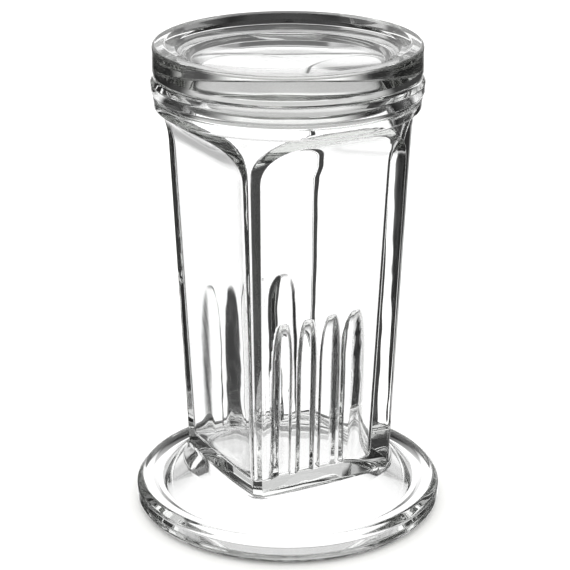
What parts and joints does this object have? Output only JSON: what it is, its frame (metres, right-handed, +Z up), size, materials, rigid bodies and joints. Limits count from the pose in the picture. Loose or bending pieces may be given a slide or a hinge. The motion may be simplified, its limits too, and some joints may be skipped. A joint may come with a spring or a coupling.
{
  "type": "slide staining jar",
  "caption": "Clear glass slide staining jar: round foot, square tapered body with ribbed inner walls, round collar, and a dished lift-off glass cover.",
  "frame": {"origin": "centre of the foot's underside, where the jar stands", "axes": "+Z up along the jar's axis; the ribbed inner walls face -Y and +Y, the plain walls -X and +X"},
  "size_m": [0.068, 0.068, 0.105],
  "materials": {
    "jar_glass": "clear pressed flint glass, fire-polished",
    "lid_glass": "clear pressed flint glass, seat ground"
  },
  "bodies": {
    "jar": {"jar": "jar_glass"},
    "lid": {"lid": "lid_glass"}
  },
  "joints": [
    {"name": "lid_lift", "type": "slide", "parent": "jar", "child": "lid", "axis": [0, 0, 1], "range_m": [0, 0.03]}
  ]
}
